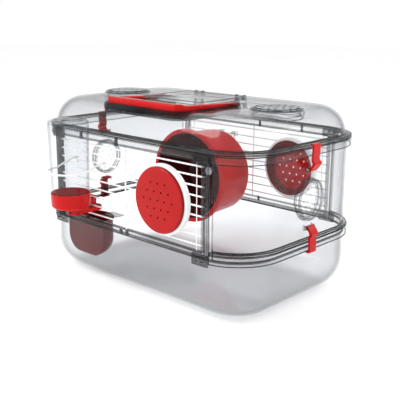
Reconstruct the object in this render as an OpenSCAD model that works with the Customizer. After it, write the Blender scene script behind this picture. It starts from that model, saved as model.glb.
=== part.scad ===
// One-storey small-animal cage: clear tub, clear curved ends, wire front and back, domed clear roof.
// X runs along the length, Y to the back, Z up. The origin is the middle of the underside.

/* [Shell] */
// Half of the length between the outer faces of the end walls
wall_half_l = 199; // [185:1:215]
// Half of the depth between the outer faces of the long walls
wall_half_d = 129; // [124:1:140]
// Radius of the upright corners
corner_r = 64; // [60:1:70]
// How far the rims stand out from the walls
rim_out = 6; // [5:0.5:8]
// Thickness of the clear plastic
wall_t = 2.4; // [2:0.2:3]

/* [Heights] */
// Top of the tub's rim at the ends
tub_h = 93; // [88:1:100]
// Top of the tub's rim along the front and back
tub_mid_h = 84; // [80:1:86]
// Top of the middle section
frame_top = 215; // [205:1:225]
// Top of the flat part of the roof
roof_top = 254.5; // [250:0.5:262]

/* [Grille] */
// Half of the opening between the posts
bay_half = 138; // [130:1:142]
// Distance of the wire grille from the middle of the cage
grille_y = 131; // [129:0.5:132]
// Diameter of the wires
wire_d = 2.2; // [1.8:0.1:2.6]
// Height of the lowest wire
wire_z0 = 100; // [98:0.5:102]
// Distance between two wires
wire_pitch = 12.3; // [11:0.1:12.6]

/* [Ports] */
// Middle of the round grille ports along the length
port_x = 71; // [60:1:80]
// Height of the middle of the round grille ports
port_z = 147; // [143:1:150]
// Outer radius of the white port collars
collar_r = 46; // [44:0.5:48]
// Outer radius of the red port caps
cap_r = 43; // [42.5:0.5:44]
// Outer radius of the clear end port plugs
plug_r = 27; // [25:0.5:29]
// Height of the middle of the end ports
plug_z = 146; // [144:1:148]

/* [Wheel] */
// Place of the wheel's axle along the length
wheel_x = -53; // [-60:1:-48]
// Height of the wheel's axle
wheel_z = 130; // [126:1:134]
// Radius of the wheel's front lip
wheel_r = 72.5; // [66:0.5:74]
// Distance of the wheel's front lip behind the middle
wheel_y0 = 38; // [34:1:42]

/* [Roof fittings] */
// Half width of the carry handle at its pivots
handle_half = 73; // [70:0.5:73]
// Distance of the handle's front edge before the middle
handle_front = 107; // [100:0.5:107]
// Depth of the handle's grip bar
handle_w = 14; // [12:0.5:14]
// Half width of the tray that the handle lies in
tray_half = 78; // [77:0.5:80]
// Distance of the roof vents from the middle
vent_x = 144; // [143:0.5:146]
// Outer radius of the roof vents
vent_r = 33.5; // [30:0.5:34]

/* [Bottle and bowl] */
// Place of the bottle's axis along the length
bottle_x = -77; // [-84:1:-76]
// Place of the bottle's axis in front of the middle
bottle_y = -165; // [-168:1:-164]
// Radius of the bottle at its top
bottle_r = 27.6; // [26:0.2:28]
// Top of the bottle
bottle_top = 235; // [220:1:240]
// Radius of the D-shaped food bowl
bowl_r = 39.5; // [34:0.5:40]
// Underside of the food bowl
bowl_z0 = 34; // [33:1:40]

/* [Hidden] */
gap = 0.2;
rim_edge = 2;
dome_r = roof_top - 218;
dome_in = 3;
flange_z = frame_top + gap;
post_w = 10;
post_out = bay_half + post_w;
end_cut = post_out + 0.4;
port_hole_r = 42.2;
tray_front = -handle_front - 4;
tray_back = 18;
tray_z0 = 243;
tray_top = 255;
cup_z0 = 116;
handle_y = 5;
handle_z = 251.2;
handle_pin_r = 2.4;
hatch_half = 50;
hatch_front = -44;
hatch_back = 38;
lid_z = 256.6;
lid_t = 3.2;
hinge_y = hatch_back + 13;
hinge_z = lid_z + 1.6;
clip_w = 14;
notch_w = 15;
clip_x = 202;
clip_top_z = 186;
clip_reach = 31;
clip_low_z = tub_h - 14 - 0.4 + clip_reach;
pin_play = 0.05;
big = 600;

// ---------- shared shapes ----------

// Points along an arc
function arc_pts(cx, cy, r, a0, a1, n = 12) =
  [for (i = [0:n]) let (a = a0 + (a1 - a0) * i / n) [cx + r * cos(a), cy + r * sin(a)]];

// A profile swept once round the rounded rectangle. Its x is the distance outward from the wall.
module around(a = wall_half_l, b = wall_half_d, r = corner_r) {
  for (q = [[1, 1, 0], [-1, 1, 90], [-1, -1, 180], [1, -1, 270]])
    translate([q[0] * (a - r), q[1] * (b - r), 0])
      rotate([0, 0, q[2]])
        rotate_extrude(angle = 90, $fn = 96)
          translate([r, 0]) children();
  for (turn = [0, 180])
    rotate([0, 0, turn]) translate([a, 0, 0]) along(2 * (b - r)) children();
  for (turn = [90, 270])
    rotate([0, 0, turn]) translate([b, 0, 0]) along(2 * (a - r)) children();
}

// A profile drawn in x and z, extruded along y
module along(len) {
  rotate([90, 0, 0]) linear_extrude(len, center = true) children();
}

// Rectangle from two opposite corners in a list [x0, y0, x1, y1]
module rect(c) {
  translate([c[0], c[1]]) square([c[2] - c[0], c[3] - c[1]]);
}

// Rectangle with round corners, from the same list
module round_rect(c, r) {
  rect([c[0] + r, c[1], c[2] - r, c[3]]);
  rect([c[0], c[1] + r, c[2], c[3] - r]);
  for (x = [c[0] + r, c[2] - r], y = [c[1] + r, c[3] - r])
    translate([x, y]) circle(r, $fn = 64);
}

// Box from two opposite corners
module block(a, b) {
  translate(a) cube(b - a);
}

// Round bar between two points
module bar(a, b, r) {
  d = b - a;
  len = norm(d);
  translate(a)
    rotate([0, acos(d[2] / len), atan2(d[1], d[0])])
      cylinder(h = len, r = r, $fn = 24);
}

// Cylinder along Y from y0 to y1
module cyl_y(r, y0, y1, fn = 96) {
  translate([0, y1, 0]) rotate([90, 0, 0]) cylinder(h = y1 - y0, r = r, $fn = fn);
}

// Cylinder along X from x0 to x1
module cyl_x(r, x0, x1, fn = 96) {
  translate([x0, 0, 0]) rotate([0, 90, 0]) cylinder(h = x1 - x0, r = r, $fn = fn);
}

// Solid turned about Y: the profile is drawn as radius and distance along Y
module turned_y() {
  rotate([-90, 0, 0]) rotate_extrude($fn = 128) children();
}

// Rows of a hexagon of air holes: 3, 4, 5, 4 and 3 holes
module hole_grid(pitch, d, h) {
  for (row = [-2:2])
    for (i = [0:4 - abs(row)])
      translate([(i - (4 - abs(row)) / 2) * pitch, row * pitch * 0.87, 0])
        cylinder(h = h, d = d, center = true, $fn = 16);
}

// ---------- tub and end panels ----------

module tub_profile() {
  r_out = 44;
  r_in = r_out - wall_t;
  polygon(concat(
    [[-corner_r, 0]],
    arc_pts(-r_out, r_out, r_out, -90, 0),
    [[0, tub_mid_h - rim_edge], [rim_edge, tub_mid_h - rim_edge],
     [rim_edge, tub_mid_h], [-wall_t, tub_mid_h]],
    arc_pts(-r_out, r_out, r_in, 0, -90),
    [[-corner_r, wall_t]]
  ));
}

module tub_rim_profile() {
  skirt = tub_h - 14;
  polygon([
    [-wall_t, tub_mid_h - rim_edge], [0, tub_mid_h - rim_edge], [0, tub_h - 2.4],
    [rim_out - 2, tub_h - 2.4], [rim_out - 2, skirt], [rim_out, skirt],
    [rim_out, tub_h], [-wall_t, tub_h]
  ]);
}

// The two end regions outside the posts
module ends_only() {
  intersection() {
    children();
    union() {
      block([end_cut, -big, -10], [big, big, big]);
      block([-big, -big, -10], [-end_cut, big, big]);
    }
  }
}

// Recesses in the top of the roof's flange, where the clips' hooks sit
module clip_notches(z0, z1) {
  for (s = [-1, 1])
    translate([s * (clip_x + 0.4 + 5), 0, (z0 + z1) / 2])
      cube([10, notch_w, z1 - z0], center = true);
}

module base_tub() color([0.78, 0.79, 0.81, 0.4]) {
  inner = [wall_half_l - corner_r, wall_half_d - corner_r];
  difference() {
    union() {
      around() tub_profile();
      block([-inner[0], -inner[1], 0], [inner[0], inner[1], wall_t]);
      ends_only() around() tub_rim_profile();
    }
  }
}

module panel_profile() {
  z0 = tub_h + gap;
  polygon([
    [-wall_t, z0], [rim_out - 1, z0], [rim_out - 1, z0 + 2], [0, z0 + 2],
    [0, frame_top - 2.4], [rim_out - 2, frame_top - 2.4],
    [rim_out - 2, frame_top - 12], [rim_out, frame_top - 12],
    [rim_out, frame_top], [-wall_t, frame_top]
  ]);
}

// Lugs that carry a clip's pin, on the outside of the wall
module clip_lugs(z) {
  for (s = [-1, 1])
    translate([0, s * 8.5, 0])
      difference() {
        union() {
          block([wall_half_l - 1, -1, z - 2.8], [clip_x, 1, z + 2.8]);
          translate([clip_x, 0, z]) cyl_y(2.8, -1, 1, 32);
        }
        translate([clip_x, 0, z]) cyl_y(1.2 + pin_play, -2, 2, 32);
      }
}

module end_panel() {
  boss_in = plug_r - 2.6;
  difference() {
    union() {
      intersection() {
        around() panel_profile();
        block([end_cut, -big, 0], [big, big, big]);
      }
      translate([0, 0, plug_z]) cyl_x(plug_r, wall_half_l - 4, wall_half_l + 4);
      clip_lugs(clip_top_z);
      clip_lugs(clip_low_z);
    }
    translate([0, 0, plug_z]) cyl_x(boss_in, wall_half_l - 9, wall_half_l + 9);
  }
}

module end_panel_right() color([0.85, 0.86, 0.88, 0.35]) end_panel();
module end_panel_left() color([0.85, 0.86, 0.88, 0.35]) rotate([0, 0, 180]) end_panel();

// ---------- posts, rails and grilles ----------

// Upright post at the front right: an outer bar, a web and a groove for the grille
module post() {
  y0 = -wall_half_d - rim_out;
  z0 = tub_mid_h + gap;
  difference() {
    union() {
      block([bay_half, y0, z0], [bay_half + 5, y0 + 7, frame_top]);
      block([bay_half + 4, y0 + 2, z0], [post_out, y0 + 5, frame_top]);
      block([post_out - 2.4, y0, z0], [post_out, y0 + 6, frame_top]);
    }
    block([bay_half - 1, -grille_y - 1.4, z0 + 9], [bay_half + 1.6, -grille_y + 1.4, frame_top - 12]);
  }
}

module post_front_right() color([0.6, 0.61, 0.63, 0.6]) post();
module post_front_left() color([0.6, 0.61, 0.63, 0.6]) mirror([1, 0, 0]) post();
module post_back_right() color([0.6, 0.61, 0.63, 0.6]) mirror([0, 1, 0]) post();
module post_back_left() color([0.6, 0.61, 0.63, 0.6]) rotate([0, 0, 180]) post();

// A clear rail of the front bay between two heights, channelled on its inner side
module rail(z0, z1) {
  half = bay_half - 0.1;
  y0 = -wall_half_d - rim_out + 1;
  difference() {
    block([-half, y0, z0], [half, y0 + 6, z1]);
    block([-half - 1, y0 + 1.6, z0 + 2], [half + 1, y0 + 7, z1 - 2]);
  }
}

module front_top_rail() color([0.75, 0.76, 0.78, 0.5]) rail(frame_top - 11, frame_top);
module back_top_rail() color([0.75, 0.76, 0.78, 0.5]) rotate([0, 0, 180]) rail(frame_top - 11, frame_top);
module front_bottom_rail() color([0.75, 0.76, 0.78, 0.5]) rail(tub_mid_h + gap, tub_mid_h + 9);
module back_bottom_rail() color([0.75, 0.76, 0.78, 0.5]) rotate([0, 0, 180]) rail(tub_mid_h + gap, tub_mid_h + 9);

// Nine long wires and three uprights, cut away round the port
module grille() {
  r = wire_d / 2;
  reach = bay_half + 1.4;
  fine_r = 0.6;
  difference() {
    union() {
      for (i = [0:8])
        translate([0, -grille_y, wire_z0 + i * wire_pitch]) cyl_x(r, -reach, reach, 20);
      for (u = [[-bay_half + 9, fine_r], [0, r], [bay_half - 9, fine_r]])
        translate([u[0], -grille_y - r - u[1] + 0.3, tub_mid_h + 9.1])
          cylinder(h = frame_top - 11.1 - tub_mid_h - 9.1, r = u[1], $fn = 20);
    }
    translate([port_x, 0, port_z]) cyl_y(collar_r + 0.05, -grille_y - 20, -grille_y + 20);
  }
}

module front_grille() color("white") grille();
module back_grille() color("white") mirror([0, 1, 0]) grille();

// White ring that holds the port cap. Its groove side faces the cap.
module collar() {
  translate([port_x, 0, port_z])
    turned_y() polygon([
      [port_hole_r, -138], [collar_r - 1, -138], [collar_r, -137],
      [collar_r, -130.4], [collar_r - 1.4, -129], [port_hole_r, -129]
    ]);
}

module front_port_collar() color("white") collar();
module back_port_collar() color("white") mirror([0, 1, 0]) collar();

// Domed red cap with a spigot that plugs into the collar
module cap() {
  y_rim = -138.3;
  spigot = port_hole_r - 0.3;
  translate([port_x, 0, port_z])
    difference() {
      turned_y() polygon(concat(
        [[0, y_rim - 4.6], [cap_r * 0.45, y_rim - 4.4], [cap_r - 8, y_rim - 3.9]],
        arc_pts(cap_r - 3.4, y_rim - 0.6, 3.4, -65, 0, 6),
        [[cap_r, y_rim], [spigot, y_rim], [spigot, y_rim + 9], [spigot - 2, y_rim + 9],
         [spigot - 2, y_rim - 1.6], [cap_r - 8.4, y_rim - 2.6], [cap_r * 0.45, y_rim - 3.1],
         [0, y_rim - 3.3]]
      ));
      rotate([90, 0, 0]) translate([0, 0, -y_rim + 4]) hole_grid(12.6, 2.6, 20);
    }
}

module front_port_cap() color([0.85, 0.1, 0.1]) cap();
module back_port_cap() color([0.85, 0.1, 0.1]) mirror([0, 1, 0]) cap();

// Clear perforated plug of an end port
module port_plug() {
  face = wall_half_l + 4 + gap;
  spigot = plug_r - 2.6 - 0.3;
  translate([0, 0, plug_z])
    difference() {
      union() {
        cyl_x(plug_r, face, face + 1.4);
        cyl_x(plug_r - 2, face + 1, face + 2);
        cyl_x(spigot, face - 9, face + 1);
      }
      cyl_x(spigot - 1.6, face - 10, face - 0.4);
      translate([face, 0, 0]) rotate([90, 0, 90]) hole_grid(8.6, 2.2, 20);
    }
}

module right_port_plug() color([0.9, 0.9, 0.92, 0.4]) port_plug();
module left_port_plug() color([0.9, 0.9, 0.92, 0.4]) rotate([0, 0, 180]) port_plug();

// Dark snap hooks on the rails of the front. Each entry is x, lowest z and height.
module front_snaps() {
  y0 = -wall_half_d - rim_out - 0.6;
  for (s = [[-89, frame_top - 10.5, 10], [-15, frame_top - 11, 10.6], [-9, tub_mid_h + 0.6, 7], [3, tub_mid_h + 0.6, 7]])
    block([s[0] - 2.4, y0, s[1]], [s[0] + 2.4, y0 + 1.6, s[1] + s[2]]);
}

module back_snaps() {
  y0 = wall_half_d + rim_out - 1;
  for (s = [[89, frame_top - 10.5, 10], [10, frame_top - 12, 9], [11, tub_mid_h + 1, 7]])
    block([s[0] - 1.7, y0, s[1]], [s[0] + 1.7, y0 + 1.6, s[1] + s[2]]);
}

module grille_snaps() color([0.1, 0.1, 0.11]) {
  front_snaps();
  back_snaps();
}

// One lock block over the end of a rail and the foot or head of a post
module corner_lock(z0, z1) {
  y0 = -wall_half_d - rim_out - 2.4;
  difference() {
    union() {
      block([bay_half - 13, y0, z0], [post_out + 3, y0 + 2.3, z1]);
      block([bay_half - 11, y0 - 1.2, z0 + 3], [post_out, y0 + 1, z1 - 3]);
    }
    block([bay_half - 7, y0 - 2, z0 + 5.5], [bay_half - 2, y0 + 1, z1 - 5]);
    block([bay_half + 2, y0 - 2, z0 + 5.5], [post_out - 3, y0 + 1, z1 - 5]);
  }
}

module four_locks(z0, z1) {
  for (sx = [0, 1], sy = [0, 1])
    mirror([sx, 0, 0]) mirror([0, sy, 0]) corner_lock(z0, z1);
}

module lower_corner_locks() color([0.3, 0.31, 0.33, 0.8]) four_locks(tub_mid_h - 7.5, tub_mid_h + 7.5);
module upper_corner_locks() color([0.4, 0.41, 0.43, 0.7]) four_locks(frame_top - 13, frame_top - 1);

// ---------- roof ----------

module roof_profile() {
  flange_top = 218;
  r_in = dome_r - wall_t;
  x_c = -dome_in - dome_r;
  polygon(concat(
    [[-8, flange_z], [rim_out, flange_z], [rim_out, flange_top]],
    arc_pts(x_c, flange_top, dome_r, 0, 90, 14),
    [[-corner_r, roof_top], [-corner_r, roof_top - wall_t]],
    arc_pts(x_c, flange_top, r_in, 90, 0, 14),
    [[-8, flange_top]]
  ));
}

// Plan of the U-shaped tray that the handle lies in. g moves its walls outward.
module tray_plan(g) {
  difference() {
    round_rect([-tray_half - g, tray_front - g, tray_half + g, tray_back + g], 19 + g);
    round_rect([-tray_half + 22 + g, tray_front + 37 + g, tray_half - 22 - g, tray_back + 40], 6 - g);
  }
}

// Lugs and knuckle places of the hatch hinge, behind the lid
module hatch_lugs() {
  for (x = [-40, 40])
    for (s = [-1, 1])
      translate([x + s * 7.4, 0, 0])
        difference() {
          union() {
            block([-1.2, hinge_y - 3.4, roof_top - 1], [1.2, hinge_y + 3.4, hinge_z]);
            translate([0, hinge_y, hinge_z]) cyl_x(3.4, -1.2, 1.2, 32);
          }
          translate([0, hinge_y, hinge_z]) cyl_x(1.5, -3, 3, 32);
        }
}

module roof_shell() color([0.86, 0.86, 0.88, 0.35]) {
  inner = [wall_half_l - corner_r, wall_half_d - corner_r];
  opening = [-hatch_half, hatch_front, hatch_half, hatch_back];
  coaming = [-hatch_half - 2, hatch_front - 2, hatch_half + 2, hatch_back + 2];
  difference() {
    union() {
      around() roof_profile();
      block([-inner[0], -inner[1], roof_top - wall_t], [inner[0], inner[1], roof_top]);
      translate([0, 0, roof_top - 8]) linear_extrude(9.7) round_rect(coaming, 7);
      for (x = [-vent_x, vent_x])
        translate([x, 0, roof_top - 10.5]) cylinder(h = 11.5, r = vent_r + 1.3, $fn = 96);
      hatch_lugs();
    }
    translate([0, 0, tray_z0 - 10]) linear_extrude(40) tray_plan(0.1);
    translate([0, 0, roof_top - 30]) linear_extrude(50) round_rect(opening, 5);
    for (x = [-vent_x, vent_x])
      translate([x, 0, roof_top - 20]) cylinder(h = 40, r = vent_r - 1.4, $fn = 96);
    clip_notches(flange_z + 1.4, frame_top + 4);
  }
}

// Smoked tray set into the roof, open at the top
module handle_tray() color([0.12, 0.12, 0.13, 0.9]) {
  difference() {
    translate([0, 0, tray_z0]) linear_extrude(tray_top - tray_z0) tray_plan(0);
    translate([0, 0, tray_z0 + 2]) linear_extrude(20) tray_plan(-2);
    translate([0, handle_y, handle_z]) cyl_x(handle_pin_r, -tray_half - 2, tray_half + 2, 48);
  }
}

// Clear perforated vent that plugs into its round boss
module roof_vent(x) {
  seat = roof_top + 1 + gap;
  spigot = vent_r - 1.4 - 0.3;
  translate([x, 0, seat])
    difference() {
      union() {
        cylinder(h = 1.6, r = vent_r, $fn = 96);
        cylinder(h = 2.4, r = vent_r - 4, $fn = 96);
        translate([0, 0, -8]) cylinder(h = 9, r = spigot, $fn = 96);
      }
      translate([0, 0, -9]) cylinder(h = 9.2, r = spigot - 1.6, $fn = 96);
      hole_grid(10.4, 2.6, 30);
      for (a = [15:30:345])
        rotate([0, 0, a]) translate([27.5, 0, 0]) cylinder(h = 30, d = 2.2, center = true, $fn = 16);
    }
}

module roof_vent_left() color([0.88, 0.88, 0.9, 0.4]) roof_vent(-vent_x);
module roof_vent_right() color([0.88, 0.88, 0.9, 0.4]) roof_vent(vent_x);

// Plan of the handle: a U with round corners, open to the back
module handle_plan() {
  x1 = handle_half - 2;
  difference() {
    round_rect([-x1, -handle_front, x1, 60], 13);
    round_rect([-x1 + 10, -handle_front + handle_w, x1 - 10, 80], 6);
    rect([-big, handle_y, big, big]);
  }
}

// Side of the handle in y and z: a tall grip, then arms that get lower to the back
module handle_side() {
  low = 248;
  polygon(concat(
    arc_pts(-handle_front + 3, low + 3, 3, 180, 270, 6),
    [[0, low], [handle_y, handle_z - 4.4], [handle_y, handle_z + 5.2], [-20, low + 9.6],
     [-handle_front + 16, low + 12.4], [-handle_front + 13, low + 14]],
    arc_pts(-handle_front + 8, low + 9, 6, 60, 90, 3),
    arc_pts(-handle_front + 5, low + 10, 5, 90, 180, 8)
  ));
}

// U-shaped carry handle lying in its tray, grip to the front
module carry_handle() color([0.85, 0.1, 0.1]) {
  difference() {
    union() {
      intersection() {
        translate([0, 0, 240]) linear_extrude(40) handle_plan();
        rotate([90, 0, 90]) linear_extrude(2 * handle_half + 10, center = true) handle_side();
      }
      for (s = [-1, 1])
        translate([s * (handle_half - 7), handle_y, handle_z]) cyl_x(5.2, -5, 5, 48);
    }
    translate([0, handle_y, handle_z])
      cyl_x(handle_pin_r + pin_play, -handle_half - 5, handle_half + 5, 48);
  }
}

// The two pins, fixed in the tray's walls
module handle_pins() color([0.75, 0.76, 0.78]) {
  translate([0, handle_y, handle_z]) {
    cyl_x(handle_pin_r, tray_half - 22, tray_half, 48);
    cyl_x(handle_pin_r, -tray_half, -tray_half + 22, 48);
  }
}

// Flat clear lid with a raised frame and two knuckles
module hatch_lid() color([0.9, 0.9, 0.92, 0.4]) {
  x1 = hatch_half + 8.5;
  y0 = hatch_front - 9;
  y1 = hatch_back + 8.6;
  difference() {
    union() {
      translate([0, 0, lid_z]) linear_extrude(lid_t) round_rect([-x1, y0, x1, y1], 6);
      translate([0, 0, lid_z + lid_t - 0.1])
        linear_extrude(0.7)
          difference() {
            round_rect([-x1 + 2.5, y0 + 2.5, x1 - 2.5, y1 - 2.5], 4);
            round_rect([-x1 + 4.5, y0 + 4.5, x1 - 4.5, y1 - 4.5], 3);
          }
      for (x = [-40, 40]) {
        block([x - 5.8, y1 - 1, lid_z], [x + 5.8, hinge_y, lid_z + 3]);
        translate([x, hinge_y, hinge_z]) cyl_x(3, -5.8, 5.8, 32);
      }
    }
    translate([0, hinge_y, hinge_z]) cyl_x(1.5 + pin_play, -60, 60, 32);
  }
}

module hatch_pins() color([0.75, 0.76, 0.78]) {
  for (x = [-40, 40])
    translate([x, hinge_y, hinge_z]) cyl_x(1.5, -8.6, 8.6, 32);
}

// ---------- clips ----------

// Side view of the upper right clip, x and z measured from its pivot
module clip_profile() {
  t = 1.6;
  h = clip_reach;
  polygon([
    [-1.6, -2.2], [2.4, -2.6], [6.6, 2.2], [9.6, 7.2], [9.4, 9.2], [6.4, 12.6], [6.2, 16],
    [7.0, 20], [7.0, h + 0.6], [6.0, h + t], [1.2, h + t], [1.2, h], [4.2, h],
    [4.2, 20], [3.4, 14], [3.6, 11], [5.4, 8], [4.6, 5.6], [2.2, 2.6], [-1.6, 2.2]
  ]);
}

// The clip closed on the upper right, as a spring hook on its pin
module clip() {
  difference() {
    union() {
      along(clip_w) clip_profile();
      cyl_y(2.5, -clip_w / 2, clip_w / 2, 32);
    }
    cyl_y(1.2 + pin_play, -clip_w, clip_w, 32);
  }
}

module clip_top_right() color([0.85, 0.1, 0.1]) translate([clip_x, 0, clip_top_z]) clip();
module clip_top_left() color([0.85, 0.1, 0.1]) mirror([1, 0, 0]) translate([clip_x, 0, clip_top_z]) clip();
module clip_bottom_right() color([0.85, 0.1, 0.1])
  translate([clip_x, 0, clip_low_z]) mirror([0, 0, 1]) clip();
module clip_bottom_left() color([0.85, 0.1, 0.1])
  mirror([1, 0, 0]) translate([clip_x, 0, clip_low_z]) mirror([0, 0, 1]) clip();

module clip_pins() color([0.75, 0.76, 0.78]) {
  for (s = [-1, 1], z = [clip_top_z, clip_low_z])
    translate([s * clip_x, 0, z]) cyl_y(1.2, -9.5, 9.5, 32);
}

// ---------- wheel ----------

// Drum with a rolled front lip, tapering to its closed back, and a hub on the axle
module wheel_drum() color([0.8, 0.1, 0.1]) {
  y0 = wheel_y0;
  y1 = y0 + 75;
  r_back = wheel_r - 12;
  r_mouth = wheel_r - 7.5;
  hub_r = 9;
  translate([wheel_x, 0, wheel_z])
    difference() {
      turned_y() polygon(concat(
        [[r_mouth, y0 + 1], [r_mouth + 1, y0], [wheel_r - 1.6, y0]],
        arc_pts(wheel_r - 1.6, y0 + 1.6, 1.6, -90, 0, 4),
        [[wheel_r, y0 + 5.5], [wheel_r - 5, y0 + 6.5], [r_back + 4, y1 - 8]],
        arc_pts(r_back - 3.6, y1 - 7, 7, 0, 90, 6),
        [[hub_r, y1], [hub_r, y1 + 2], [0, y1 + 2], [0, y1 - 24], [hub_r - 2, y1 - 24],
         [hub_r, y1 - 22], [hub_r, y1 - 2.5], [r_back - 5, y1 - 2.5], [r_back + 0.6, y1 - 8],
         [r_mouth, y0 + 9]]
      ));
      cyl_y(4 + pin_play, y1 - 30, y1 + 10, 64);
    }
}

module wheel_axle() color([0.7, 0.71, 0.73]) {
  y1 = wheel_y0 + 75;
  translate([wheel_x, 0, wheel_z]) {
    cyl_y(4, y1 - 24.6, y1 + 9, 64);
    cyl_y(6.5, y1 - 27, y1 - 24.4, 64);
  }
}

// Clear bracket behind the wheel: a round plate with two hooked straps over the back wires
module wheel_bracket() color([0.85, 0.86, 0.88, 0.5]) {
  y1 = wheel_y0 + 75;
  strap_y = grille_y - wire_d / 2 - 3.4;
  wire_z = wire_z0 + 7 * wire_pitch;
  difference() {
    union() {
      translate([wheel_x, 0, wheel_z]) cyl_y(24, y1 + 4, strap_y + 3);
      for (s = [-1, 1])
        translate([wheel_x + s * 14, 0, 0]) {
          block([-4, strap_y, wheel_z - 24], [4, strap_y + 3, wire_z + 3.6]);
          block([-4, strap_y, wire_z + 1.3], [4, grille_y + 4.8, wire_z + 3.6]);
          block([-4, grille_y + 2.8, wire_z - 4], [4, grille_y + 4.8, wire_z + 3.6]);
        }
    }
    translate([wheel_x, 0, wheel_z]) cyl_y(4, y1 - 10, y1 + 30, 64);
  }
}

// ---------- bottle and bowl ----------

// Closed clear bottle, slightly wider at the top, with a low domed lid
module bottle_shell() color([0.9, 0.91, 0.93, 0.35]) {
  z0 = cup_z0 + 3.6;
  r0 = bottle_r - 2.4;
  t = 1.5;
  translate([bottle_x, bottle_y, 0])
    difference() {
      rotate_extrude($fn = 96) polygon(concat(
        [[0, z0], [r0 - 2, z0], [r0, z0 + 2]],
        arc_pts(bottle_r - 3, bottle_top - 3, 3, 0, 90, 5),
        [[bottle_r - 8, bottle_top], [bottle_r - 9, bottle_top + 2.6], [0, bottle_top + 3]]
      ));
      rotate_extrude($fn = 96) polygon([
        [0, z0 + t], [r0 - t - 1, z0 + t], [r0 - t, z0 + 3], [bottle_r - t, bottle_top - 3.4],
        [bottle_r - t - 2.4, bottle_top - t], [0, bottle_top - t]
      ]);
    }
}

// Red cup that the bottle stands in, held behind two wires by a lug with a head
module bottle_cup() color([0.85, 0.1, 0.1]) {
  r_in = bottle_r - 1.7;
  z0 = cup_z0;
  z1 = 136.5;
  wire_low = wire_z0 + wire_pitch;
  difference() {
    union() {
      translate([bottle_x, bottle_y, 0])
        rotate_extrude($fn = 96) polygon([
          [0, z0], [r_in - 1.6, z0], [r_in + 0.6, z0 + 2.4], [r_in + 1.4, z1 - 1], [r_in + 1, z1],
          [r_in, z1], [r_in, z0 + 5], [r_in - 2, z0 + 3], [0, z0 + 3]
        ]);
      difference() {
        block([bottle_x - 8, bottle_y, z0 + 0.6], [bottle_x + 8, -grille_y + 3.4, wire_low + wire_pitch - 1.5]);
        translate([bottle_x, bottle_y, 0]) cylinder(h = 200, r = r_in + 0.5, $fn = 96);
      }
      block([bottle_x - 8, -grille_y + 1.4, wire_low - 1.6], [bottle_x + 8, -grille_y + 3.4, wire_low + wire_pitch + 2]);
    }
    translate([bottle_x, bottle_y, z0 - 1]) cylinder(h = 8, r = 4, $fn = 32);
  }
}

// Open drinking trough that reaches between two wires into the cage
module drinking_trough() color([0.7, 0.08, 0.08]) {
  z0 = wire_z0 + 4.5;
  z1 = wire_z0 + wire_pitch - wire_d / 2 - 0.7;
  plan = [bottle_x - 9, -168, bottle_x + 9, -115];
  difference() {
    union() {
      translate([0, 0, z0]) linear_extrude(z1 - z0) round_rect(plan, 8);
      translate([bottle_x, bottle_y, z1 - 1]) cylinder(h = cup_z0 - z1 + 1, r = 6.5, $fn = 48);
    }
    translate([0, 0, z0 + 1.6])
      linear_extrude(z1 - z0)
        round_rect([bottle_x - 7.6, -128, bottle_x + 7.6, -116.6], 5);
    translate([bottle_x, bottle_y, z0 + 1.6]) cylinder(h = 20, r = 4, $fn = 32);
    translate([bottle_x, 0, z0 + 3.2]) cyl_y(1.4, bottle_y, -120, 24);
  }
}

// White wire loop round the bottle, hooked over a wire of the front grille
module bottle_holder() color("white") {
  r = 1.3;
  loop_r = bottle_r + 2.6;
  low = 166;
  hook_z = wire_z0 + 6 * wire_pitch + wire_d / 2 + r + 0.1;
  translate([bottle_x, bottle_y, low])
    rotate([0, 0, 180])
      rotate_extrude(angle = 180, $fn = 96) translate([loop_r, 0]) circle(r - 0.06, $fn = 24);
  for (s = [-1, 1])
    translate([bottle_x + s * loop_r, 0, 0]) {
      bar([0, bottle_y, low], [0, -grille_y - 4.4, hook_z], r);
      bar([0, -grille_y - 4.4, hook_z], [0, -grille_y + 2.8, hook_z], r);
      bar([0, -grille_y + 2.8, hook_z], [0, -grille_y + 2.8, hook_z - 7], r);
      for (p = [[0, bottle_y, low], [0, -grille_y - 4.4, hook_z], [0, -grille_y + 2.8, hook_z],
                [0, -grille_y + 2.8, hook_z - 7]])
        translate(p) sphere(r + 0.12, $fn = 24);
    }
}

// Half of a round pot, standing behind the plane y = 0
module half_pot(r, z0, z1, fillet) {
  rotate_extrude(angle = 180, $fn = 128)
    polygon(concat([[0, z0]], arc_pts(r - fillet, z0 + fillet, fillet, -90, 0, 10), [[r, z1], [0, z1]]));
}

// Red D-shaped food bowl with two hooks over the lowest wire
module food_bowl() color([0.8, 0.1, 0.1]) {
  t = 2;
  rim_z = 88;
  front = -wall_half_d + 4.4;
  translate([-99, front, 0])
    difference() {
      union() {
        half_pot(bowl_r, bowl_z0, rim_z, 24);
        translate([0, 0, rim_z - 3]) rotate_extrude(angle = 180, $fn = 128) square([bowl_r + 1.4, 3]);
      }
      intersection() {
        half_pot(bowl_r - t, bowl_z0 + t, rim_z + 1, 22);
        block([-big, t, 0], [big, big, big]);
      }
    }
  for (x = [-120, -95]) {
    block([x - 4, front, rim_z - 14], [x + 4, front + t, wire_z0 + 3.4]);
    block([x - 4, -grille_y - 3.4, wire_z0 + 1.4], [x + 4, front + t, wire_z0 + 3.4]);
    block([x - 4, -grille_y - 3.4, wire_z0 - 3], [x + 4, -grille_y - 1.8, wire_z0 + 3.4]);
  }
}

// Clear ledge that lies on the back of the bowl's rim
module bowl_ledge() color([0.85, 0.87, 0.88, 0.4]) {
  translate([0, 0, 88])
    linear_extrude(1.6) round_rect([-90, -100, -64, -77], 8);
}

// ---------- one line per node ----------

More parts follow.
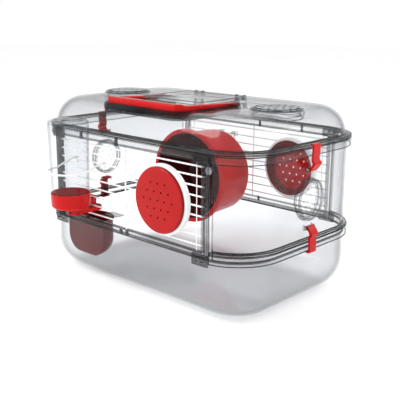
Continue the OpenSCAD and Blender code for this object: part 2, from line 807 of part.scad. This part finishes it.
base_tub();
end_panel_left();
end_panel_right();
post_front_left();
post_front_right();
post_back_left();
post_back_right();
front_top_rail();
front_bottom_rail();
back_top_rail();
back_bottom_rail();
front_grille();
back_grille();
front_port_collar();
back_port_collar();
front_port_cap();
back_port_cap();
left_port_plug();
right_port_plug();
grille_snaps();
lower_corner_locks();
upper_corner_locks();
roof_shell();
handle_tray();
roof_vent_left();
roof_vent_right();
carry_handle();
handle_pins();
hatch_lid();
hatch_pins();
clip_top_left();
clip_top_right();
clip_bottom_left();
clip_bottom_right();
clip_pins();
wheel_drum();
wheel_axle();
wheel_bracket();
bottle_shell();
bottle_cup();
drinking_trough();
bottle_holder();
food_bowl();
bowl_ledge();
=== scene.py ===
"""One-storey small-animal cage: looks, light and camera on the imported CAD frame."""
import math

import bpy
from mathutils import Matrix, Vector


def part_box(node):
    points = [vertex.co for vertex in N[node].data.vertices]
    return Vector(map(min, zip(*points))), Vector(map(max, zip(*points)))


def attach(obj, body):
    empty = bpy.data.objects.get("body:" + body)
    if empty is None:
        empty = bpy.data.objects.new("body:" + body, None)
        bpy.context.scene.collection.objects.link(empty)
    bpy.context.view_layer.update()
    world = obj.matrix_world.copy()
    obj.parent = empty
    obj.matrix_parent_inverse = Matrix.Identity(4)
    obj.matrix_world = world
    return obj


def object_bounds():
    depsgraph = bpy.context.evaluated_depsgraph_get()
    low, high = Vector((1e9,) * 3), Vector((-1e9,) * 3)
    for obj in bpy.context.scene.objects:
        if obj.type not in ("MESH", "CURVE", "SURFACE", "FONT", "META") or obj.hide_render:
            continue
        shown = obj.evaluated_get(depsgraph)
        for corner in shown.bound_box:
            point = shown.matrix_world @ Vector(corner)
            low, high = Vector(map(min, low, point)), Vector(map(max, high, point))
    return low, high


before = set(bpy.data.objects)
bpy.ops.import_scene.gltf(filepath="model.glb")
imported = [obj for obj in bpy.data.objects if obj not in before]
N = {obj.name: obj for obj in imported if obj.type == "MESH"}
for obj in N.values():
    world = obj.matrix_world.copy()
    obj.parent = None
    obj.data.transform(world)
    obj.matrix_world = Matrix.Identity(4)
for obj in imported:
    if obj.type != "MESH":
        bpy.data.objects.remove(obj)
cad_lo, cad_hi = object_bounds()
scene = bpy.context.scene

MM = 0.001
# The smallest corner that gets a moulded edge, in degrees.
EDGE_CORNER = 50
# Vertices closer than this are joined before an edge is rounded, in metres.
WELD_GAP = 1e-6
# Input and output sockets of the Mix node when it mixes colours.
MIX_A, MIX_B, MIX_RESULT = 6, 7, 2
# Low and high ends of the noise values that a ramp spreads, for broad drift and for fine grain.
DRIFT = (0.32, 0.68)
GRAIN = (0.3, 0.7)
SKIN_DEPTH = 0.0002


# ---------------------------------------------------------------- node helpers
class Mat:
    """A node material under construction."""

    def __init__(self, name):
        self.m = bpy.data.materials.new(name)
        self.m.use_nodes = True
        self.t = self.m.node_tree
        self.t.nodes.clear()
        self.out = self.t.nodes.new("ShaderNodeOutputMaterial")
        self.pos = self.new("ShaderNodeTexCoord").outputs["Object"]

    def new(self, kind, **values):
        n = self.t.nodes.new(kind)
        for key, value in values.items():
            setattr(n, key, value)
        return n

    def put(self, socket, value):
        if isinstance(value, bpy.types.NodeSocket):
            self.t.links.new(value, socket)
        else:
            socket.default_value = value

    def math(self, op, a, b=0.0, c=0.0, clamp=False):
        n = self.new("ShaderNodeMath", operation=op, use_clamp=clamp)
        for socket, value in zip(n.inputs, (a, b, c)):
            self.put(socket, value)
        return n.outputs[0]

    def ramp(self, value, lo, hi, a=0.0, b=1.0, smooth=True):
        """Spreads value from lo..hi to a..b."""
        n = self.new("ShaderNodeMapRange", interpolation_type="SMOOTHSTEP" if smooth else "LINEAR")
        for key, v in (("Value", value), ("From Min", lo), ("From Max", hi), ("To Min", a), ("To Max", b)):
            self.put(n.inputs[key], v)
        return n.outputs[0]

    def colour(self, fac, a, b):
        n = self.new("ShaderNodeMix", data_type="RGBA")
        self.put(n.inputs[0], fac)
        for socket, value in ((n.inputs[MIX_A], a), (n.inputs[MIX_B], b)):
            self.put(socket, value if isinstance(value, bpy.types.NodeSocket) else (*value, 1.0))
        return n.outputs[MIX_RESULT]

    def noise(self, scale, detail=3.0):
        n = self.new("ShaderNodeTexNoise")
        n.inputs["Scale"].default_value = scale
        n.inputs["Detail"].default_value = detail
        n.inputs["Roughness"].default_value = 0.5
        self.t.links.new(self.pos, n.inputs["Vector"])
        return n.outputs["Fac"]

    def xyz(self):
        n = self.new("ShaderNodeSeparateXYZ")
        self.t.links.new(self.pos, n.inputs[0])
        return n.outputs

    def bump(self, height, strength):
        n = self.new("ShaderNodeBump")
        n.inputs["Strength"].default_value = strength
        n.inputs["Distance"].default_value = SKIN_DEPTH
        self.t.links.new(height, n.inputs["Height"])
        return n.outputs[0]

    def mix(self, fac, a, b):
        n = self.new("ShaderNodeMixShader")
        self.put(n.inputs[0], fac)
        self.t.links.new(a, n.inputs[1])
        self.t.links.new(b, n.inputs[2])
        return n.outputs[0]

    def facing(self):
        """0 where the surface faces the viewer, 1 where it is seen edge on."""
        n = self.new("ShaderNodeLayerWeight")
        n.inputs["Blend"].default_value = 0.5
        return n.outputs["Facing"]

    def finish(self, shader):
        self.t.links.new(shader, self.out.inputs["Surface"])
        return self.m


def solid(name, base, rough=0.3, coat=0.0, metal=0.0, shade=0.10, grain=900.0):
    """Moulded or coated opaque surface: slight colour drift, uneven gloss, fine skin."""
    k = Mat(name)
    big, fine = k.noise(26.0, 4.0), k.noise(grain, 2.0)
    dark = tuple(c * (1.0 - shade) for c in base)
    light = tuple(min(1.0, c * (1.0 + shade * 0.5)) for c in base)
    p = k.new("ShaderNodeBsdfPrincipled")
    k.put(p.inputs["Base Color"], k.colour(k.ramp(big, *DRIFT), dark, light))
    k.put(p.inputs["Roughness"], k.ramp(fine, *GRAIN, rough * 0.85, rough * 1.2))
    k.put(p.inputs["Normal"], k.bump(fine, 0.08))
    p.inputs["Metallic"].default_value = metal
    p.inputs["Coat Weight"].default_value = coat
    p.inputs["Coat Roughness"].default_value = 0.08
    p.inputs["Specular IOR Level"].default_value = 0.5
    return k.finish(p.outputs[0])


# Colour of clear plastic looked through, and its reflection where it faces the viewer.
CLEAR_HUE = (0.985, 0.992, 1.0)
FACE_REFLECTION = 0.012
CLOUDY_BODY = (0.80, 0.81, 0.83)
BAND_SOFT = 0.4 * MM


def clear(name, tint, edge, haze, body=CLOUDY_BODY, curve=2.2, shade_lines=(), rough=0.05, mirror=0.55):
    """Clear moulded plastic. Seen edge on it gets darker, as a wall does when more of it is looked through.

    tint and edge are what passes where it faces the viewer and where it is seen edge on. haze and body are
    how much of the surface is cloudy, and its colour. Each band, as (low, high, soft, grey, cover), is
    painted shade: a dark line along a moulded edge by height, in metres, for the dark of refraction at the rims.
    """
    k = Mat(name)
    f = k.facing()
    thick = k.math("POWER", f, curve)
    through = k.colour(thick, tuple(tint * h for h in CLEAR_HUE), tuple(edge * h for h in CLEAR_HUE))
    glass = k.new("ShaderNodeBsdfTransparent")
    k.put(glass.inputs["Color"], through)
    skin = k.new("ShaderNodeBsdfDiffuse")
    skin.inputs["Color"].default_value = (*body, 1.0)
    cloud = k.ramp(k.noise(14.0, 4.0), 0.25, 0.8, haze * 0.6, haze * 1.5)
    shader = k.mix(cloud, glass.outputs[0], skin.outputs[0])
    height = k.xyz()["Z"]
    # Each band paints a dark diffuse line along a moulded edge: painted shade.
    for low, high, soft, grey, cover in shade_lines:
        rise = k.ramp(height, low - soft, low + soft)
        fall = k.ramp(height, high - soft, high + soft, 1.0, 0.0)
        fac = k.math("MULTIPLY", k.math("MULTIPLY", rise, fall), cover)
        edge_shade_bsdf = k.new("ShaderNodeBsdfDiffuse")
        edge_shade_bsdf.inputs["Color"].default_value = (grey, grey, grey * 1.02, 1.0)
        shader = k.mix(fac, shader, edge_shade_bsdf.outputs[0])
    gloss = k.new("ShaderNodeBsdfGlossy")
    gloss.inputs["Color"].default_value = (1, 1, 1, 1)
    k.put(gloss.inputs["Roughness"], k.ramp(k.noise(60.0), *GRAIN, rough * 0.7, rough * 1.5))
    schlick = k.math("MULTIPLY_ADD", k.math("POWER", f, 5.0), mirror, FACE_REFLECTION)
    return k.finish(k.mix(schlick, shader, gloss.outputs[0]))


def dress(name, material, smooth=35.0, bevel=0.0, segments=2, edge=None):
    """Gives a CAD node its material and smooth shading.

    With bevel, in metres, its corners are rounded too, and edge is their material.
    """
    o = N[name]
    o.data.materials.clear()
    o.data.materials.append(material)
    if edge:
        o.data.materials.append(edge)
    o.data.shade_smooth()
    o.data.set_sharp_from_angle(angle=math.radians(smooth))
    if bevel:
        w = o.modifiers.new("join corners", "WELD")
        w.merge_threshold = WELD_GAP
        b = o.modifiers.new("soft edges", "BEVEL")
        b.width, b.segments, b.limit_method = bevel, segments, "ANGLE"
        b.angle_limit = math.radians(EDGE_CORNER)
        b.use_clamp_overlap = False
        if edge:
            b.material = 1


# ---------------------------------------------------------------- materials
RED = (0.50, 0.0045, 0.0045)
RED_CAP = (0.42, 0.0040, 0.0040)
# Colour of painted shade on inner sides that get no light.
RED_UNLIT = (0.085, 0.0095, 0.0100)
drum_lo, drum_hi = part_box("wheel_drum")


def red_plastic(name, base=RED, painted_shade_side=None):
    """Gloss red. The optional node recipe says where the surface is on the unlit inner side; there the colour is
    painted shade, mixed towards RED_UNLIT.
    """
    k = Mat(name)
    big, fine = k.noise(26.0, 4.0), k.noise(900.0, 2.0)
    tone = k.colour(k.ramp(big, *DRIFT), tuple(c * 0.92 for c in base), tuple(c * 1.04 for c in base))
    if painted_shade_side:
        # Painted shade: the colour goes towards RED_UNLIT where the recipe says.
        tone = k.colour(painted_shade_side(k), tone, RED_UNLIT)
    p = k.new("ShaderNodeBsdfPrincipled")
    k.put(p.inputs["Base Color"], tone)
    k.put(p.inputs["Roughness"], k.ramp(fine, *GRAIN, 0.20, 0.30))
    k.put(p.inputs["Normal"], k.bump(fine, 0.06))
    p.inputs["Specular IOR Level"].default_value = 0.14
    p.inputs["Coat Weight"].default_value = 0.05
    p.inputs["Coat Roughness"].default_value = 0.06
    return k.finish(p.outputs[0])


# The drum's wall and its back plate, with a little to spare: the painted shade within the drum begins past them.
DRUM_WALL_FRONT, DRUM_WALL_BACK, DRUM_PLATE = 6.0 * MM, 10.0 * MM, 3.4 * MM


def drum_painted_shade(k):
    """1 within the wheel's drum, which narrows to the back: where the drum gets painted shade."""
    xyz = k.xyz()
    cx, cz = (drum_lo.x + drum_hi.x) / 2, (drum_lo.z + drum_hi.z) / 2
    lip = (drum_hi.x - drum_lo.x) / 2
    dx, dz = k.math("SUBTRACT", xyz["X"], cx), k.math("SUBTRACT", xyz["Z"], cz)
    r = k.math("SQRT", k.math("ADD", k.math("MULTIPLY", dx, dx), k.math("MULTIPLY", dz, dz)))
    middle = k.ramp(xyz["Y"], drum_lo.y, drum_hi.y, lip - DRUM_WALL_FRONT, lip - DRUM_WALL_BACK, smooth=False)
    inner = k.math("LESS_THAN", r, middle)
    before_back = k.math("LESS_THAN", xyz["Y"], drum_hi.y - DRUM_PLATE)
    return k.math("MULTIPLY", inner, before_back)


# Past CAP_FACE_DEPTH from its outer face, a cap's surface gets painted shade of strength CAP_UNLIT.
CAP_FACE_DEPTH = 2.0 * MM
CAP_UNLIT = 0.72


def cap_inner_shade(name, sign):
    """A node recipe that is above 0 on the side of a cap that faces into the cage: that side gets painted shade.
    """
    lo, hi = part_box(name)
    face = lo.y if sign < 0 else hi.y

    def recipe(k):
        depth = k.math("MULTIPLY", k.math("SUBTRACT", k.xyz()["Y"], face), -sign)
        return k.math("MULTIPLY", k.math("GREATER_THAN", depth, CAP_FACE_DEPTH), CAP_UNLIT)
    return recipe


red = red_plastic("red_gloss_plastic")
# The drum's hollow is painted darker: painted shade.
red_drum = red_plastic("red_gloss_drum", (0.58, 0.005, 0.005), painted_shade_side=drum_painted_shade)
# A darker copy of the gloss red for the food bowl: painted shade for the bowl within the cage.
red_painted_shade = red_plastic("red_gloss_plastic_painted_shade", (0.12, 0.004, 0.005))
white = solid("white_gloss_plastic", (0.86, 0.86, 0.85), rough=0.3, coat=0.1, shade=0.03)
wire = solid("white_coated_wire", (0.90, 0.90, 0.89), rough=0.35, coat=0.2, shade=0.04, grain=500.0)
black = solid("black_hook_plastic", (0.02, 0.02, 0.022), rough=0.25, shade=0.2)
steel = solid("plain_steel", (0.60, 0.61, 0.63), rough=0.28, metal=1.0, shade=0.08, grain=1500.0)


def smoked_tray():
    """Black tray that turns grey translucent towards the right end: a painted highlight there, in place of the
    light it reflects.
    """
    k = Mat("smoked_tray_plastic")
    lo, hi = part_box("handle_tray")
    length = hi.x - lo.x
    p = k.new("ShaderNodeBsdfPrincipled")
    black_low, black_high = (0.006, 0.006, 0.008), (0.014, 0.014, 0.016)
    k.put(p.inputs["Base Color"], k.colour(k.ramp(k.noise(30.0), *GRAIN), black_low, black_high))
    k.put(p.inputs["Roughness"], k.ramp(k.noise(600.0, 2.0), *GRAIN, 0.12, 0.2))
    p.inputs["Specular IOR Level"].default_value = 0.15
    highlight_see_through = k.new("ShaderNodeBsdfTransparent")
    highlight_see_through.inputs["Color"].default_value = (0.72, 0.70, 0.71, 1.0)
    # Painted highlight: towards the right end the black is mixed into grey see-through.
    painted_highlight_fac = k.ramp(k.xyz()["X"], lo.x + 0.30 * length, lo.x + 0.75 * length, 0.0, 0.62)
    return k.finish(k.mix(painted_highlight_fac, p.outputs[0], highlight_see_through.outputs[0]))


roof_lo, roof_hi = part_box("roof_shell")
panel_lo, panel_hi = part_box("end_panel_right")
tray = smoked_tray()

# Tints of the cloudy body and of the dark edges, whose dark is painted shade.
GREY_BODY = (0.6, 0.6, 0.62)
EDGE_SHADE_GREY = (0.15, 0.15, 0.16)
SHADE_LINE_GREY = 0.012
# Painted shade lines by height on the roof flange and on the panels' bottom and top edges, as (low, high, soft,
# grey, cover).
flange_shade_line = [(roof_lo.z + 2.0 * MM, roof_lo.z + 3.0 * MM, 0.15 * MM, SHADE_LINE_GREY, 0.7)]
roof_shade_lines = [(roof_lo.z - MM, roof_lo.z + 5 * MM, BAND_SOFT, SHADE_LINE_GREY, 0.9)]
panel_shade_lines = [(panel_lo.z - MM, panel_lo.z + 4 * MM, BAND_SOFT, SHADE_LINE_GREY, 0.9),
               (panel_hi.z - 14 * MM, panel_hi.z + MM, BAND_SOFT, SHADE_LINE_GREY, 0.9)]

# Walls: what passes facing and edge on, and the haze.
clear_roof = clear("clear_roof_plastic", 0.932, 0.50, 0.005, curve=3.0, shade_lines=flange_shade_line)
clear_panel = clear("clear_panel_plastic", 0.930, 0.50, 0.003, curve=3.0)
clear_tub = clear("clear_tub_plastic", 0.962, 0.60, 0.007, (0.75, 0.75, 0.77), 3.0)
clear_fitting = clear("clear_fitting_plastic", 0.97, 0.30, 0.01)
clear_lid = clear("clear_lid_plastic", 0.972, 0.62, 0.006, curve=4.0)
clear_bottle = clear("clear_bottle_plastic", 0.955, 0.16, 0.004, curve=6.0)
clear_rail = clear("clear_rail_plastic", 0.95, 0.45, 0.02, GREY_BODY)
smoked = clear("smoked_post_plastic", 0.955, 0.50, 0.03, GREY_BODY)
smoked_deep = clear("smoked_lock_plastic", 0.78, 0.15, 0.05, (0.25, 0.25, 0.27), 1.6)
# Moulded edges are painted dark, as painted shade for the refraction at the rims, so that they read as dark lines.
dark_shade_edge = clear("dark_rim_painted_shade", 0.05, 0.01, 0.55, (0.010, 0.010, 0.012), 1.0, rough=0.12, mirror=0.35)
grey_shade_edge = clear("grey_rim_painted_shade", 0.55, 0.10, 0.15, EDGE_SHADE_GREY, 1.0, rough=0.12)
roof_shade_edge = clear("roof_rim_painted_shade", 0.68, 0.30, 0.08, (0.2, 0.2, 0.21), 1.0, roof_shade_lines)
panel_shade_edge = clear("panel_rim_painted_shade", 0.62, 0.25, 0.10, EDGE_SHADE_GREY, 1.0, panel_shade_lines)

for name in ("clip_top_left", "clip_top_right", "clip_bottom_left", "clip_bottom_right",
             "bottle_cup", "drinking_trough"):
    dress(name, red, smooth=40)
dress("carry_handle", red, bevel=1.2 * MM, segments=3)
dress("wheel_drum", red_drum, smooth=40)
dress("food_bowl", red_painted_shade, smooth=40)
# Each cap gets painted shade on the side that faces into the cage.
for name, sign in (("front_port_cap", -1), ("back_port_cap", 1)):
    dress(name, red_plastic("red_gloss_" + name, RED_CAP, painted_shade_side=cap_inner_shade(name, sign)), smooth=40)
dress("handle_tray", tray)
dress("grille_snaps", black)
for name in ("front_grille", "back_grille", "bottle_holder"):
    dress(name, wire, smooth=60)
for name in ("front_port_collar", "back_port_collar"):
    dress(name, white)
for name in ("handle_pins", "hatch_pins", "clip_pins", "wheel_axle"):
    dress(name, steel)

dress("roof_shell", clear_roof, smooth=30, bevel=0.9 * MM, edge=roof_shade_edge)
dress("base_tub", clear_tub, smooth=30, bevel=0.9 * MM, edge=dark_shade_edge)
for name in ("end_panel_left", "end_panel_right"):
    dress(name, clear_panel, smooth=30, bevel=0.9 * MM, edge=panel_shade_edge)
for material, bevel, edge, names in (
        (clear_lid, 0.4, dark_shade_edge, ("roof_vent_left", "roof_vent_right")),
        (clear_lid, 0.4, grey_shade_edge, ("hatch_lid", "left_port_plug", "right_port_plug")),
        (clear_fitting, 0.4, grey_shade_edge, ("bowl_ledge", "wheel_bracket")),
        (clear_bottle, 0.4, grey_shade_edge, ("bottle_shell",)),
        (clear_rail, 0.6, dark_shade_edge, ("front_top_rail", "back_top_rail", "front_bottom_rail", "back_bottom_rail")),
        (smoked, 0.45, dark_shade_edge, ("post_front_right", "post_back_left", "post_back_right")),
        (smoked_deep, 0.6, dark_shade_edge, ("post_front_left", "lower_corner_locks", "upper_corner_locks"))):
    for name in names:
        dress(name, material, bevel=bevel * MM, edge=edge)


# ---------------------------------------------------------------- dark disc of painted shade in the front cap
SHADE_DISC_SET_BACK = 2.1
# Radius and depth back from the front of the disc, in mm, from the middle round the rim to the middle.
SHADE_DISC_RINGS = ((0.0, 0.0), (20.0, 0.05), (34.0, 0.3), (38.0, 0.5), (38.4, 0.9), (37.8, 1.2), (0.0, 0.9))


def cap_shade_disc():
    """Thin dished dark disc that backs the air holes of the front cap: painted shade seen through the holes."""
    lo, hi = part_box("front_port_cap")
    cx, cz = (lo.x + hi.x) / 2, (lo.z + hi.z) / 2
    steps, rings = 96, SHADE_DISC_RINGS
    verts, faces = [], []
    for radius, back in rings:
        y = lo.y + (SHADE_DISC_SET_BACK + back) * MM
        for i in range(steps if radius else 1):
            a = math.tau * i / steps
            verts.append((cx + radius * MM * math.cos(a), y, cz + radius * MM * math.sin(a)))
    for i in range(steps):
        j = (i + 1) % steps
        faces.append((0, 1 + i, 1 + j))
        for ring in range(len(rings) - 3):
            a, b = 1 + ring * steps, 1 + (ring + 1) * steps
            faces.append((a + i, b + i, b + j, a + j))
        last = 1 + (len(rings) - 3) * steps
        faces.append((last + j, last + i, len(verts) - 1))
    mesh = bpy.data.meshes.new("front_cap_shade_disc")
    mesh.from_pydata(verts, [], faces)
    mesh.shade_smooth()
    o = bpy.data.objects.new("front_cap_shade_disc", mesh)
    scene.collection.objects.link(o)
    # Very dark red: painted shade.
    mesh.materials.append(red_plastic("red_shade_disc_plastic", (0.075, 0.004, 0.004)))
    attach(o, "cap_front")


cap_shade_disc()


# ---------------------------------------------------------------- studio
LIGHT_AIM = (0, 0, 0.12)


def area(name, place, size, watts):
    """Round white area light, in metres and watts, turned to the middle of the cage."""
    data = bpy.data.lights.new(name, "AREA")
    data.shape, data.size, data.energy = "DISK", size, watts
    o = bpy.data.objects.new(name, data)
    o.location = place
    o.rotation_mode = "QUATERNION"
    o.rotation_quaternion = (Vector(LIGHT_AIM) - Vector(place)).to_track_quat("-Z", "Y")
    scene.collection.objects.link(o)


area("key", (-0.9, -1.3, 1.7), 1.2, 26)
area("rim", (1.2, 1.2, 1.3), 1.0, 12)

world = bpy.data.worlds.new("studio")
scene.world = world
world.use_nodes = True
bg = world.node_tree.nodes["Background"]
bg.inputs["Color"].default_value = (1.0, 1.0, 1.0, 1.0)
bg.inputs["Strength"].default_value = 1.0

FLOOR_HALF = 6.0
FLOOR_GAP = 0.4 * MM
floor_mesh = bpy.data.meshes.new("floor")
corners = [(x * FLOOR_HALF, y * FLOOR_HALF, 0) for x, y in ((-1, -1), (1, -1), (1, 1), (-1, 1))]
floor_mesh.from_pydata(corners, [], [(0, 1, 2, 3)])
floor = bpy.data.objects.new("floor", floor_mesh)
floor.location = (0, 0, cad_lo.z - FLOOR_GAP)
scene.collection.objects.link(floor)
k = Mat("pale_floor")
p = k.new("ShaderNodeBsdfPrincipled")
k.put(p.inputs["Base Color"], k.colour(k.ramp(k.noise(3.0), *GRAIN), (0.975,) * 3, (0.99,) * 3))
p.inputs["Roughness"].default_value = 0.9
p.inputs["Specular IOR Level"].default_value = 0.1
floor_mesh.materials.append(k.finish(p.outputs[0]))

# ---------------------------------------------------------------- camera
CAMERA_PLACE = (0.7107, -0.7455, 0.3784)
LENS = 65.5
ahead = Vector((-0.6625, 0.7048, -0.2536)).normalized()
upward = Vector((-0.1778, 0.1809, 0.9673))
right = ahead.cross(upward).normalized()
upward = right.cross(ahead)
cam = bpy.data.objects.new("camera", bpy.data.cameras.new("camera"))
cam.data.sensor_width = 36.0
cam.data.lens = LENS
turn = Matrix((right, upward, -ahead)).transposed()
cam.matrix_world = Matrix.Translation(CAMERA_PLACE) @ turn.to_4x4()
cam.data.clip_start, cam.data.clip_end = 0.01, 50.0
scene.collection.objects.link(cam)
scene.camera = cam

scene.view_settings.view_transform = "Standard"
scene.cycles.transparent_max_bounces = 32
